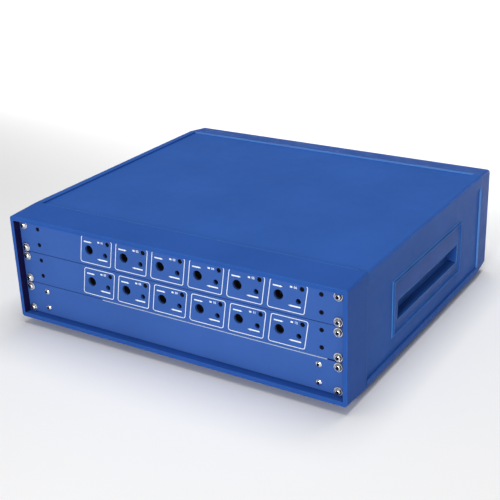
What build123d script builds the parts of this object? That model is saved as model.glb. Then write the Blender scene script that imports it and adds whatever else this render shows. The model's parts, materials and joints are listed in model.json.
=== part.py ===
"""Rack-style power distribution box: a 3U desktop case with slide-in units.

Frame: X to the right, Y towards the back, Z up, millimetres. The origin is on the surface that
the box stands on, under the middle of the case. In the helpers, "depth" is a distance back from
the front face of the bezel and "level" is a height from the middle of the stack of units.
"""

import os

from build123d import *

# ---- driving dimensions: 19-inch grid ----
unit_pitch = 44.45
unit_count = 3
rack_panel_width = 482.6
rack_hole_spacing = 465.1
rack_hole_offset = 15.875
panel_height = 43.6
panel_thickness = 3.0
panel_recess = 10.4

# ---- driving dimensions: case ----
case_width = 495.6
case_height = 152.6
case_depth = 452.4
foot_height = 8.0
front_bezel_depth = 50.0
rear_bezel_depth = 37.2
case_corner = 4.0
front_taper_height = 2.8
rear_taper_height = 4.1
rear_taper_width = 2.1
panel_side_gap = 0.5
stack_end_gap = 0.5
opening_corner = 2.0
joint_gap = 1.2
edge_round = 0.8
boss_depth = 8.0
boss_inset = 6.0
wall_screw_depth = 30.0
wall_screw_level = 38.0
rail_screw_length = 24.0

# ---- driving dimensions: rails, covers and side panels ----
rail_width = 12.0
rail_height = 18.3
bottom_lip_height = 11.3
sheet = 2.0
cover_recess = 2.5
bottom_recess = 1.0
side_recess = 2.7
groove_depth = 4.3
groove_gap = 0.15
seat_gap = 0.3
channel_inset_x = 9.0
channel_inset_z = 11.8
m4_shank = 1.9
m4_head = 3.5
m4_head_height = 2.4
m4_hex = 2.5
m3_shank = 1.5
m3_head = 2.7
m3_head_height = 1.7
m3_hex = 2.0

# ---- driving dimensions: handles ----
handle_length = 222.4
handle_height = 76.2
handle_depth = 235.8
handle_level = -5.5
rim_height = 2.5
ridge_width = 0.6
dish_depth = 3.1
dish_crown = 1.6
rim_overlap = 4.2
grip_thickness = 3.4
slot_top = 1.9
slot_bottom = -25.0
slot_front = 139.0
slot_rear = 334.0
pocket_floor = -22.3
pocket_mouth_drop = 0.6
pocket_reach = 12.0
pocket_hook_reach = 18.5
pocket_top = 24.0
pocket_wall = 2.0
hook_inset = 20.0
hook_length = 16.0
hook_reach = 1.6
hook_thickness = 1.9

# ---- driving dimensions: units ----
tray_width = 428.0
tray_length = 321.0
tray_sheet = 1.2
tray_rise = 19.6
tray_drop = 20.6
tray_flange = 14.0
board_thickness = 1.6
board_level = -10.0
board_width = 392.0
channels = 6
channel_pitch = 55.88
channel_shift = 26.6
input_offset = -11.6
input_hole = 12.7
input_bore = 11.4
input_bore_depth = 9.0
output_offset = 14.3
output_level = -3.3
output_hole = 6.9
output_bore = 6.4
output_bore_depth = 13.0
lamp_offset = 19.4
lamp_level = 13.05
lamp_hole = 6.2
m6_shank = 2.9
m6_head = 4.6
m6_head_height = 3.6
m6_hex = 4.0
m6_length = 17.9
washer_radius = 6.0
washer_thickness = 2.9
washer_bevel = 0.6
washer_seat = 1.9
washer_cup = 5.0
socket_gap = 0.2
input_block_width = 16.0
input_block_wall = 7.0
output_block_width = 11.0
output_block_wall = 4.0
rack_hole = 3.2
rack_slot_length = 10.2
rack_slot_width = 6.8
channel_screw_x = 210.2
channel_screw_spacing = 22.3
channel_screw_rise = 1.25
black_head = 2.9
black_shank = 1.5
power_screw_x = 206.3
power_screw_spacing = 24.0
power_head = 4.1
power_head_height = 2.2
power_hex = 3.4
power_shank = 2.0
relay_depth = 70.0
relay_width = 20.0
relay_length = 28.0
relay_height = 15.0
light_pipe_length = 20.0

# ---- driving dimensions: rack rails, runners and backplane ----
rack_rail_sheet = 3.0
rack_rail_side = 2.5
rack_rail_inner = 223.0
rack_rail_reach = 24.0
rack_rail_end_gap = 0.7
runner_sheet = 1.5
runner_web = 16.0
outrigger_height = 7.0
runner_ledge = 9.0
runner_gap = 2.0
runner_length = 380.0
backplane_depth = 352.0
backplane_width = 120.0
backplane_height = 124.0
bus_width = 60.0
bus_height = 10.0
bus_socket_length = 12.0
bus_tongue = 7.0
bus_wall = 2.0
bus_gap = 0.4
bus_clearance = 0.8
bus_plug_length = 12.0
bracket_margin = 25.0
spacer_length = 6.0
spacer_radius = 3.0
spacer_hole = 1.6
spacer_inset = 5.0
bracket_screw_inset = 12.0
bracket_foot = 20.0
wire_radius = 1.3
wire_bend = 9.0
wire_spacing = 6.0

# ---- driving dimensions: power supply ----
supply_part_height = 26.0
capacitor_x = (-150.0, -122.0, -94.0)
capacitor_depth = 90.0
capacitor_radius = 11.0
sink_x = 60.0
sink_depth = 60.0
sink_fins = 9
fin_pitch = 12.0
fin_thickness = 2.0
fin_length = 30.0
terminal_depth = 200.0
transformer_depth = 180.0

# ---- driving dimensions: rear panel ----
rear_opening_width = 479.6
rear_opening_height = 132.0
rear_recess = 8.0
rear_panel_sheet = 3.0
rear_boss = 16.0
rear_edge_gap = 0.4
rear_screw_inset_x = 13.0
rear_screw_inset_z = 9.0
vent_count = 22
vent_pitch = 9.0
vent_width = 3.0
vent_height = 40.0
vent_x = -90.0
inlet_x = 150.0
inlet_width = 32.0
inlet_height = 42.0
inlet_flange = 2.2
inlet_body_depth = 22.0
inlet_cavity_width = 24.6
inlet_cavity_height = 17.0
inlet_cavity_depth = 17.0
inlet_rise = 6.0
drawer_drop = 12.5
drawer_width = 24.0
drawer_height = 6.8
drawer_depth = 12.0
drawer_face = 1.8
drawer_gap = 0.25
fuse_radius = 2.5
fuse_length = 20.0
switch_x = 190.0
switch_width = 15.0
switch_height = 22.0
switch_body_depth = 16.0
rocker_width = 10.6
rocker_radius = 8.2
rocker_gap = 0.4
rocker_tilt = 7.0

# ---- driving dimensions: feet and tilt legs ----
foot_inset_x = 45.0
foot_inset_front = 82.0
foot_inset_rear = 70.0
foot_width = 36.0
foot_length = 44.0
pad_thickness = 1.5
leg_width = 16.0
leg_length = 28.0
leg_thickness = 4.2
leg_gap = 0.5
leg_pin = 1.5
leg_pin_inset = 5.0
foot_screw_inset = 5.0
foot_screw_seat = 4.5
foot_corner = 4.0
pad_width = 7.0
pad_length = 28.0
pad_inset = 1.0

# ---- derived ----
front = -case_depth / 2
back = case_depth / 2
middle = foot_height + case_height / 2
side = case_width / 2
half_height = case_height / 2
opening_width = rack_panel_width + 2 * panel_side_gap
opening_height = unit_count * unit_pitch + 2 * stack_end_gap
rails_front = front + front_bezel_depth + joint_gap
rails_back = back - rear_bezel_depth
panel_front = front + panel_recess
panel_back = panel_front + panel_thickness
side_face = side - side_recess
levels = [(unit_count - 1) / 2 * unit_pitch - k * unit_pitch for k in range(unit_count)]
channel_x = [channel_shift + (k - (channels - 1) / 2) * channel_pitch for k in range(channels)]
rear_panel_face = back - rear_recess
cover_top = middle + half_height - cover_recess
cover_bottom = foot_height + bottom_recess
channel_points = [
    (sx * (side - channel_inset_x), middle + sz * (half_height - channel_inset_z))
    for sx in (-1, 1)
    for sz in (-1, 1)
]
wall_screw_points = [(wall_screw_depth, level) for level in (-wall_screw_level, wall_screw_level)]
board_end = front + backplane_depth - bus_socket_length - bus_clearance


def block(x0, x1, y0, y1, z0, z1):
    """A box between two corners."""
    centre = Pos((x0 + x1) / 2, (y0 + y1) / 2, (z0 + z1) / 2)
    return centre * Box(abs(x1 - x0), abs(y1 - y0), abs(z1 - z0))


def rod_x(x0, x1, y, z, radius):
    return Pos((x0 + x1) / 2, y, z) * Rot(0, 90, 0) * Cylinder(radius, abs(x1 - x0))


def rod_y(x, y0, y1, z, radius):
    return Pos(x, (y0 + y1) / 2, z) * Rot(90, 0, 0) * Cylinder(radius, abs(y1 - y0))


def rod_z(x, y, z0, z1, radius):
    return Pos(x, y, (z0 + z1) / 2) * Cylinder(radius, abs(z1 - z0))


def group(shapes):
    """Separate solids that share one node."""
    return Compound([solid for shape in shapes for solid in shape.solids()])


def cut(body, tools):
    """The body less every tool."""
    for tool in tools:
        body = body - tool
    return body


def across(shape):
    """The same shape on the other side of the case."""
    return mirror(shape, about=Plane.YZ)


def face_outline(width, height, corner, y, level=0.0):
    """A rounded rectangle in the XZ plane at one depth."""
    outline = Plane(origin=(0, y, middle + level), x_dir=(1, 0, 0), z_dir=(0, -1, 0))
    return outline * RectangleRounded(width, height, corner)


def button_screw(head, height, hexagon, shank, length):
    """Domed socket screw, head towards +Z, seated on Z = 0."""
    rim = 0.3 * height
    rise = height - rim
    dome = (head**2 + rise**2) / (2 * rise)
    body = Cylinder(head, height, align=(Align.CENTER, Align.CENTER, Align.MIN))
    body = body & Pos(0, 0, height - dome) * Sphere(dome)
    socket = extrude(RegularPolygon(hexagon / 2, 6, major_radius=False), 0.6 * height)
    body = body - Pos(0, 0, 0.4 * height + 0.01) * socket
    return body + Pos(0, 0, -length / 2) * Cylinder(shank, length)


def flat_screw(head, height, hexagon, shank, length):
    """Countersunk socket screw, head flush with Z = 0."""
    cone = Pos(0, 0, -height / 2) * Cone(shank, head, height)
    body = cone + Pos(0, 0, -length / 2) * Cylinder(shank, length)
    socket = extrude(RegularPolygon(hexagon / 2, 6, major_radius=False), height)
    return body - Pos(0, 0, -0.7 * height) * socket


def m4_screw(length):
    return button_screw(m4_head, m4_head_height, m4_hex, m4_shank, length)


def flat_screw_hole(head, shank):
    """The countersunk hole that a flat screw sits in, from Z = 0 down."""
    height = head - shank
    cone = Pos(0, 0, -height / 2) * Cone(shank + 0.1, head + 0.1, height + 0.01)
    return cone + Pos(0, 0, -4.0) * Cylinder(shank + 0.1, 8.0)


to_front = Rot(90, 0, 0)
to_back = Rot(-90, 0, 0)
to_left = Rot(0, -90, 0)
to_below = Rot(180, 0, 0)


# ---- case: bezels, rails, covers ----
def screw_boss(x, z, y0, y1, inner):
    """A block in a bezel corner that the rail screws go through."""
    out_x = side - boss_inset if x > 0 else boss_inset - side
    in_x = out_x - inner if x > 0 else out_x + inner
    out_z = middle + (opening_height / 2 + 1.0) * (1 if z > middle else -1)
    in_z = middle + (half_height - rail_height) * (1 if z > middle else -1)
    return block(in_x, out_x, y0, y1, in_z, out_z)


def make_front_bezel():
    joint = front + front_bezel_depth
    nose = face_outline(case_width, case_height - 2 * front_taper_height, case_corner, front)
    tail = face_outline(case_width, case_height, case_corner, joint)
    body = loft([nose, tail])
    opening = face_outline(opening_width, opening_height, opening_corner, joint + 1)
    body = body - extrude(opening, front_bezel_depth + 2)
    body = fillet(body.edges().group_by(Axis.Y)[0], edge_round)
    seat = joint - boss_depth
    for x, z in channel_points:
        body = body + screw_boss(x, z, seat, rails_front, boss_depth)
    for x, z in channel_points:
        body = body - rod_y(x, seat - 1, rails_front + 1, z, m4_shank + 0.1)
        body = body - rod_y(x, seat - m4_head_height - 1.0, seat, z, m4_head + 0.3)
    for depth, level in wall_screw_points:
        for sx in (-1, 1):
            start = sx * (opening_width / 2 - 1)
            end = sx * (opening_width / 2 + 4.2)
            body = body - rod_x(start, end, front + depth, middle + level, m4_shank + 0.05)
    return body


def make_rear_bezel():
    joint = face_outline(case_width, case_height, case_corner, rails_back)
    tail = face_outline(
        case_width - 2 * rear_taper_width,
        case_height - 2 * rear_taper_height,
        case_corner,
        back,
    )
    body = loft([joint, tail])
    opening = face_outline(rear_opening_width, rear_opening_height, opening_corner, back + 1)
    body = body - extrude(opening, rear_bezel_depth + 2)
    body = fillet(body.edges().group_by(Axis.Y)[-1], edge_round)
    seat = rear_panel_face - rear_panel_sheet
    for sx in (-1, 1):
        for sz in (-1, 1):
            x1 = sx * (rear_opening_width / 2 + 1)
            x0 = sx * (rear_opening_width / 2 - rear_boss)
            z1 = middle + sz * (rear_opening_height / 2 + 1)
            z0 = middle + sz * (rear_opening_height / 2 - rear_boss)
            body = body + block(x0, x1, rails_back, seat, z0, z1)
    for x, z in channel_points:
        body = body - rod_y(x, rails_back - 1, seat + 1, z, m4_shank + 0.1)
        body = body - rod_y(x, seat - m4_head_height - 0.6, seat + 1, z, m4_head + 0.3)
    for x, z in rear_screw_points():
        body = body - rod_y(x, seat - 9.0, seat + 1, z, m4_shank + 0.05)
    return body


def rail_section(bottom):
    """Corner rail at the right, as an outline in XZ: grooves for the cover and the side panel."""
    x1 = side
    x0 = side - rail_width
    z1 = middle + half_height
    z0 = z1 - rail_height
    body = block(x0, x1, rails_front, rails_back, z0, z1)
    corner = body.edges().filter_by(Axis.Y).group_by(Axis.X)[-1].group_by(Axis.Z)[-1]
    body = fillet(corner, case_corner)
    y0 = rails_front - 1
    y1 = rails_back + 1
    gap = groove_gap
    lip = z0
    if bottom:
        lip = z1 - bottom_lip_height
        body = body - block(side_face - sheet - gap, x1 + 1, y0, y1, z0 - 1, lip)
    groove = block(side_face - sheet - gap, side_face + gap, y0, y1, z0 - 1, lip + groove_depth)
    cover_z = z1 - (bottom_recess if bottom else cover_recess)
    slot = block(x0 - 1, x0 + groove_depth, y0, y1, cover_z - sheet - gap, cover_z + gap)
    channel = rod_y(side - channel_inset_x, y0, y1, z1 - channel_inset_z, m4_shank + 0.05)
    return cut(body, [groove, slot, channel])


def make_rail(bottom, left):
    rail = rail_section(bottom)
    if bottom:
        rail = mirror(rail, about=Plane(origin=(0, 0, middle), z_dir=(0, 0, 1)))
    return across(rail) if left else rail


def make_top_cover():
    half = side - rail_width + groove_depth - seat_gap
    return block(-half, half, front + front_bezel_depth, rails_back, cover_top - sheet, cover_top)


def foot_places():
    """Foot centres: the two at the front, then the two at the back."""
    x = side - foot_inset_x
    return [
        (-x, front + foot_inset_front),
        (x, front + foot_inset_front),
        (-x, back - foot_inset_rear),
        (x, back - foot_inset_rear),
    ]


def foot_screw_place(x, y):
    return x, y + foot_length / 2 - foot_screw_inset


def make_bottom_cover():
    half = side - rail_width + groove_depth - seat_gap
    top = cover_bottom + sheet
    body = block(-half, half, front + front_bezel_depth, rails_back, cover_bottom, top)
    places = [foot_screw_place(x, y) for x, y in foot_places()]
    places += [(x, bracket_screw_y()) for x in bracket_screw_x()]
    for x, y in places:
        body = body - rod_z(x, y, cover_bottom - 1, top + 1, m4_shank + 0.1)
    return body


def handle_hole(extra):
    """The opening in the side panel that the handle's shell goes through."""
    y = front + handle_depth
    z = middle + handle_level
    half_y = handle_length / 2 - rim_overlap + extra
    half_z = handle_height / 2 - rim_overlap + extra
    return y - half_y, y + half_y, z - half_z, z + half_z


def make_side_panel(left):
    low = middle - half_height + bottom_lip_height - groove_depth + seat_gap
    high = middle + half_height - rail_height + groove_depth - seat_gap
    body = block(side_face - sheet, side_face, front + front_bezel_depth, rails_back, low, high)
    y0, y1, z0, z1 = handle_hole(0.2)
    body = body - block(side_face - sheet - 1, side_face + 1, y0, y1, z0, z1)
    return across(body) if left else body


def frustum(x0, half_y0, half_z0, x1, half_y1, half_z1):
    """A solid between two rectangles that face sideways, centred on the handle."""
    centre_y = front + handle_depth
    centre_z = middle + handle_level
    outlines = []
    for x, half_y, half_z in ((x0, half_y0, half_z0), (x1, half_y1, half_z1)):
        plane = Plane(origin=(x, centre_y, centre_z), x_dir=(0, 1, 0), z_dir=(1, 0, 0))
        outlines.append(plane * Rectangle(2 * half_y, 2 * half_z))
    return loft(outlines)


def side_profile(points, y0, y1):
    """A closed outline of (x, z) points, extruded from y0 to y1."""
    plane = Plane(origin=(0, y1, 0), x_dir=(1, 0, 0), z_dir=(0, -1, 0))
    return extrude(plane * make_face(Polyline(*points, close=True)), y1 - y0)


def pocket_points(grow):
    """The finger pocket's outline in XZ; grow widens it into the outside of its wall."""
    face = side_face + rim_height - dish_depth
    back_low = side_face - pocket_reach - grow
    back_high = side_face - pocket_hook_reach - grow
    return [
        (side_face + rim_height + 1, middle + slot_top),
        (face - grip_thickness + grow, middle + slot_top),
        (face - grip_thickness + grow, middle + pocket_top + grow),
        (back_high, middle + pocket_top + grow),
        (back_high, middle + slot_top),
        (back_low, middle + slot_top - 14.0),
        (back_low, middle + pocket_floor - grow),
        (side_face + rim_height + 1, middle + slot_bottom - pocket_mouth_drop - grow),
    ]


def make_handle(left):
    half_y = handle_length / 2
    half_z = handle_height / 2
    top = side_face + rim_height
    rim = frustum(side_face, half_y, half_z, top, half_y - rim_height, half_z - rim_height)
    y0, y1, z0, z1 = handle_hole(0.0)
    plug = block(side_face - sheet - 2.0, side_face, y0, y1, z0, z1)
    lip = rim_height + ridge_width
    dish = frustum(
        top,
        half_y - lip,
        half_z - lip,
        top - dish_depth,
        half_y - lip - dish_depth,
        half_z - lip - dish_depth,
    )
    body = rim + plug - dish
    centre_z = middle + handle_level
    reach = half_z - lip - dish_depth
    floor = top - dish_depth
    low = centre_z - reach
    high = centre_z + reach
    arc = ThreePointArc((floor, low), (floor + dish_crown, centre_z), (floor, high))
    base = Polyline((floor, high), (floor - 0.5, high), (floor - 0.5, low), (floor, low))
    end_y = front + handle_depth + half_y
    plane = Plane(origin=(0, end_y, 0), x_dir=(1, 0, 0), z_dir=(0, -1, 0))
    crown = extrude(plane * make_face([arc, base]), handle_length)
    y_start = front + slot_front
    y_end = front + slot_rear
    inner = frustum(
        top,
        half_y - lip,
        half_z - lip,
        top - dish_depth - 0.5,
        half_y - lip - dish_depth,
        half_z - lip - dish_depth,
    )
    body = body + (crown & inner)
    wall = pocket_wall
    shell = side_profile(pocket_points(wall), y_start - wall, y_end + wall)
    keep = block(0, side_face - 0.2, y_start - wall, y_end + wall, z0, z1)
    body = body + (shell & keep)
    pocket = side_profile(pocket_points(0.0), y_start, y_end)
    body = body - pocket
    hook_back = side_face - sheet - 0.1
    for z_edge, way in ((z0, -1), (z1, 1)):
        for y in (y_start + hook_inset, y_end - hook_inset):
            y_low = y - hook_length / 2
            y_high = y + hook_length / 2
            z_in = z_edge - way
            z_out = z_edge + way * hook_reach
            body = body + block(hook_back - hook_thickness, hook_back, y_low, y_high, z_in, z_out)
    return across(body) if left else body


# ---- rack rails and runners ----
def make_rack_rail(left):
    half = unit_count * unit_pitch / 2 - rack_rail_end_gap
    edge = opening_width / 2 - panel_side_gap
    low = middle - half
    high = middle + half
    flange_back = panel_back + rack_rail_sheet
    flange = block(rack_rail_inner, edge, panel_back, flange_back, low, high)
    web = block(edge - rack_rail_side, edge, panel_back, panel_back + rack_rail_reach, low, high)
    body = flange + web
    for level in levels:
        for offset in (-rack_hole_offset, 0, rack_hole_offset):
            z = middle + level + offset
            body = body - rod_y(rack_hole_spacing / 2, panel_back - 1, flange_back + 1, z, rack_hole)
    for depth, level in wall_screw_points:
        hole = rod_x(edge - rack_rail_side - 1, edge + 1, front + depth, middle + level, m4_shank + 0.1)
        body = body - hole
    return across(body) if left else body


def make_unit_runners():
    tray_half = tray_width / 2
    web_x = tray_half + runner_gap
    y0 = panel_back + rack_rail_sheet
    y1 = y0 + runner_length
    runners = []
    for level in levels:
        z0 = middle + level - tray_drop - runner_sheet
        ledge = block(tray_half - runner_ledge, web_x + runner_sheet, y0, y1, z0, z0 + runner_sheet)
        web = block(web_x, web_x + runner_sheet, y0, y1, z0, z0 + runner_web)
        tab = block(web_x, rack_rail_inner + 3.0, y0, y0 + runner_sheet, z0, z0 + runner_web)
        high = z0 + runner_web
        outrigger = block(web_x, side_face - sheet, y1 - runner_sheet, y1, high - outrigger_height, high)
        runner = ledge + web + tab + outrigger
        runners.append(runner)
        runners.append(across(runner))
    return group(runners)


def make_frame_screws():
    """Long screws into the rails' channels and short ones through the rack rails."""
    joint = front + front_bezel_depth
    seat = rear_panel_face - rear_panel_sheet - m4_head_height - 0.5
    rail_screw = m4_screw(rail_screw_length)
    rear_screw = m4_screw(seat - rails_back + rail_screw_length - 10.0)
    wall_screw = m4_screw(rack_rail_side + panel_side_gap + 3.5)
    screws = []
    for x, z in channel_points:
        screws.append(Pos(x, joint - boss_depth, z) * to_front * rail_screw)
        screws.append(Pos(x, seat, z) * to_back * rear_screw)
    inner = opening_width / 2 - panel_side_gap - rack_rail_side
    for depth, level in wall_screw_points:
        screw = Pos(inner, front + depth, middle + level) * to_left * wall_screw
        screws.append(screw)
        screws.append(across(screw))
    return group(screws + bracket_screws())


# ---- backplane ----
def bracket_screw_x():
    reach = backplane_width / 2 - bracket_screw_inset
    return [-reach, reach]


def bracket_front():
    return front + backplane_depth + board_thickness + spacer_length


def bracket_screw_y():
    return bracket_front() + runner_sheet + 9.0


def backplane_screw_places():
    reach = backplane_height / 2 - spacer_inset
    return [(x, middle + sz * reach) for x in bracket_screw_x() for sz in (-1, 1)]


def make_backplane():
    y0 = front + backplane_depth
    y1 = y0 + board_thickness
    half_x = backplane_width / 2
    half_z = backplane_height / 2
    body = block(-half_x, half_x, y0, y1, middle - half_z, middle + half_z)
    for x, z in backplane_screw_places():
        body = body - rod_y(x, y0 - 1, y1 + 1, z, spacer_hole)
    return body


def make_backplane_bracket():
    """Bent sheet on the bottom cover, with pressed spacers that the backplane sits on."""
    y0 = bracket_front()
    floor = cover_bottom + sheet
    half_x = backplane_width / 2
    half_z = backplane_height / 2
    upright = block(-half_x, half_x, y0, y0 + runner_sheet, floor, middle + half_z)
    foot = block(-half_x, half_x, y0, y0 + bracket_foot, floor, floor + runner_sheet)
    window_x = half_x - bracket_margin
    window_z = half_z - bracket_foot
    window = block(-window_x, window_x, y0 - 1, y0 + 3, middle - window_z, middle + window_z)
    body = upright + foot - window
    for x, z in backplane_screw_places():
        body = body + rod_y(x, y0 - spacer_length, y0, z, spacer_radius)
        body = body - rod_y(x, y0 - spacer_length - 1, y0 + 4, z, spacer_hole)
    for x in bracket_screw_x():
        body = body - rod_z(x, bracket_screw_y(), floor - 1, floor + 4, m4_shank + 0.1)
    return body


def bracket_screws():
    """Screws through the backplane into its spacers, and through the bracket's foot."""
    y0 = front + backplane_depth
    floor = cover_bottom + sheet + runner_sheet
    board_screw = button_screw(m3_head, m3_head_height, m3_hex, m3_shank, board_thickness + spacer_length)
    floor_screw = m4_screw(runner_sheet + sheet)
    screws = [Pos(x, y0, z) * to_front * board_screw for x, z in backplane_screw_places()]
    screws += [Pos(x, bracket_screw_y(), floor) * floor_screw for x in bracket_screw_x()]
    return screws


def bus_level(level):
    return middle + level + board_level + bus_height / 2


def make_bus_sockets():
    """One hollow connector per unit on the backplane's front."""
    y1 = front + backplane_depth
    y0 = y1 - bus_socket_length
    sockets = []
    for level in levels:
        z = bus_level(level)
        shell = block(-bus_width / 2, bus_width / 2, y0, y1, z - bus_height / 2, z + bus_height / 2)
        inside = bus_width / 2 - bus_wall
        high = bus_height / 2 - bus_wall
        mouth = block(-inside, inside, y0 - 1, y1 - bus_wall, z - high, z + high)
        sockets.append(shell - mouth)
    return group(sockets)


def make_bus_plug(level):
    """The unit's half of the connector: a block on the board and a tongue."""
    z = bus_level(level)
    half_x = bus_width / 2
    half_z = bus_height / 2
    body = block(-half_x, half_x, board_end - bus_plug_length, board_end, z - half_z, z + half_z)
    inside = half_x - bus_wall - bus_gap
    high = half_z - bus_wall - bus_gap
    tongue_end = board_end + bus_clearance + bus_tongue
    return body + block(-inside, inside, board_end - 1, tongue_end, z - high, z + high)


# ---- units ----
def panel_blank(level):
    half = rack_panel_width / 2
    z = middle + level
    body = block(-half, half, panel_front, panel_back, z - panel_height / 2, z + panel_height / 2)
    reach = (rack_slot_length - rack_slot_width) / 2
    radius = rack_slot_width / 2
    y0 = panel_front - 1
    y1 = panel_back + 1
    for sx in (-1, 1):
        for sz in (-1, 1):
            x = sx * rack_hole_spacing / 2
            place = z + sz * rack_hole_offset
            slot = block(x - reach, x + reach, y0, y1, place - radius, place + radius)
            ends = [rod_y(x + way * reach, y0, y1, place, radius) for way in (-1, 1)]
            body = cut(body, [slot, *ends])
    return body


def panel_screw_places(level, across_x, spacing, rise):
    return [
        (sx * across_x, middle + level + rise + sz * spacing / 2)
        for sx in (-1, 1)
        for sz in (-1, 1)
    ]


def make_channel_panel(level):
    body = panel_blank(level)
    z = middle + level
    for x in channel_x:
        holes = [
            (input_offset, 0.0, input_hole),
            (output_offset, output_level, output_hole),
            (lamp_offset, lamp_level, lamp_hole),
        ]
        for dx, dz, size in holes:
            body = body - rod_y(x + dx, panel_front - 1, panel_back + 1, z + dz, size / 2)
    places = panel_screw_places(level, channel_screw_x, channel_screw_spacing, channel_screw_rise)
    for sx, sz in places:
        body = body - Pos(sx, panel_front, sz) * to_front * flat_screw_hole(black_head, black_shank)
    return body


def make_power_panel(level):
    body = panel_blank(level)
    for x, z in panel_screw_places(level, power_screw_x, power_screw_spacing, 0.0):
        body = body - rod_y(x, panel_front - 1, panel_back + 1, z, power_shank + 0.1)
    return body


def make_tray(level, screw_places, shank):
    """Folded sheet tray: floor, two sides, front flanges and pressed board supports."""
    half = tray_width / 2
    y0 = panel_back
    y1 = panel_back + tray_length
    z0 = middle + level - tray_drop
    z1 = middle + level + tray_rise
    t = tray_sheet
    body = block(-half, half, y0, y1, z0, z0 + t)
    for sx in (-1, 1):
        body = body + block(sx * (half - t), sx * half, y0, y1, z0, z1)
        body = body + block(sx * (half - tray_flange), sx * half, y0, y0 + t, z0, z1)
    under = middle + level + board_level - board_thickness
    for x in (-board_width / 2 + 12.0, 0.0, board_width / 2 - 12.0):
        for y in (y0 + 40.0, (y0 + y1) / 2, y1 - 30.0):
            body = body + rod_z(x, y, z0 + t / 2, under, 3.5)
    for x, z in screw_places:
        body = body - rod_y(x, y0 - 1, y0 + t + 1, z, shank + 0.1)
    return body


def make_board(level):
    """The channel board, from just behind the panel to the bus plug."""
    top = middle + level + board_level
    half = board_width / 2
    return block(-half, half, panel_back + 4.0, board_end, top - board_thickness, top)


def make_input_sockets(level):
    """Recessed round sockets: a block on the board with a blind bore."""
    z = middle + level
    low = z + board_level
    half = input_block_width / 2
    y0 = panel_back + socket_gap
    y1 = y0 + input_bore_depth
    sockets = []
    for x in channel_x:
        cx = x + input_offset
        body = block(cx - half, cx + half, y0, y1 + input_block_wall, low, z + half)
        sockets.append(body - rod_y(cx, y0 - 1, y1, z, input_bore / 2))
    return group(sockets)


def make_output_sockets(level):
    """Jack sockets: a block on the board with a blind bore."""
    z = middle + level + output_level
    low = middle + level + board_level
    half = output_block_width / 2
    y0 = panel_back + socket_gap
    y1 = y0 + output_bore_depth
    sockets = []
    for x in channel_x:
        cx = x + output_offset
        body = block(cx - half, cx + half, y0, y1 + output_block_wall, low, z + half)
        sockets.append(body - rod_y(cx, y0 - 1, y1, z, output_bore / 2))
    return group(sockets)


def make_lamps(level):
    """Light pipes from lamps that stand on the board behind the output sockets."""
    z = middle + level + lamp_level
    low = middle + level + board_level
    back_y = panel_back + light_pipe_length
    lamps = []
    for x in channel_x:
        cx = x + lamp_offset
        pipe = rod_y(cx, panel_front + 0.6, back_y, z, lamp_hole / 2 - 0.25)
        collar = rod_y(cx, panel_back + 0.1, panel_back + 1.6, z, lamp_hole / 2 + 0.9)
        lamps.append(pipe + collar + block(cx - 3, cx + 3, back_y - 1, back_y + 5, low, z + 3))
    return group(lamps)


def make_relays(level):
    """A relay for each channel, on the board."""
    low = middle + level + board_level
    y0 = panel_back + relay_depth
    half = relay_width / 2
    relays = []
    for x in channel_x:
        body = block(x - half, x + half, y0, y0 + relay_length, low, low + relay_height)
        relays.append(fillet(body.edges().filter_by(Axis.Z), 1.0))
    return group(relays)


def make_cup_washer():
    """A washer with a bevelled rim around the cup that the screw's head sits in, seated on Z = 0."""
    washer = Cylinder(washer_radius, washer_thickness, align=(Align.CENTER, Align.CENTER, Align.MIN))
    washer = chamfer(washer.edges().group_by(Axis.Z)[-1], washer_bevel)
    washer = washer - Pos(0, 0, washer_seat + washer_thickness / 2) * Cylinder(washer_cup, washer_thickness)
    return washer - Cylinder(m6_shank + 0.1, 3 * washer_thickness)


def make_rack_screws(level):
    """Domed screws on cup washers, through the slots at the panel's ends."""
    screw = button_screw(m6_head, m6_head_height, m6_hex, m6_shank, m6_length)
    washer = make_cup_washer()
    z = middle + level
    screws = []
    for sx in (-1, 1):
        for sz in (-1, 1):
            place = Pos(sx * rack_hole_spacing / 2, panel_front, z + sz * rack_hole_offset) * to_front
            screws.append(place * Pos(0, 0, washer_seat) * screw)
            screws.append(place * washer)
    return group(screws)


def make_black_screws(level):
    screw = flat_screw(black_head, black_head - black_shank, 2.0, black_shank, 6.0)
    places = panel_screw_places(level, channel_screw_x, channel_screw_spacing, channel_screw_rise)
    return group([Pos(x, panel_front, z) * to_front * screw for x, z in places])


def make_power_screws(level):
    screw = button_screw(power_head, power_head_height, power_hex, power_shank, 7.0)
    places = panel_screw_places(level, power_screw_x, power_screw_spacing, 0.0)
    return group([Pos(x, panel_front, z) * to_front * screw for x, z in places])


def make_supply_board(level):
    """The power supply: a board with capacitors, a heat sink and a terminal block."""
    top = middle + level + board_level
    high = top + supply_part_height
    half = board_width / 2
    board = block(-half, half, panel_back + 20.0, board_end, top - board_thickness, top)
    parts = [board]
    for x in capacitor_x:
        parts.append(rod_z(x, panel_back + capacitor_depth, top, high, capacitor_radius))
    y0 = panel_back + sink_depth
    fins = block(sink_x, sink_x + (sink_fins - 1) * fin_pitch, y0, y0 + 4.0, top, high)
    for k in range(sink_fins):
        x = sink_x + k * fin_pitch
        fins = fins + block(x, x + fin_thickness, y0, y0 + fin_length, top, high)
    parts.append(fins)
    y0 = panel_back + terminal_depth
    parts.append(block(-190.0, -150.0, y0, y0 + 12.0, top, top + 12.0))
    return group(parts)


def make_transformer(level):
    """A laminated core with a bobbin, on the supply board."""
    low = middle + level + board_level
    y = panel_back + transformer_depth
    core = block(-35, 35, y - 14, y + 14, low, low + supply_part_height)
    bobbin = block(-22, 22, y - 24, y + 24, low + 5.0, low + 22.0)
    return core + fillet(bobbin.edges().filter_by(Axis.Z), 4.0)


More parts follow.
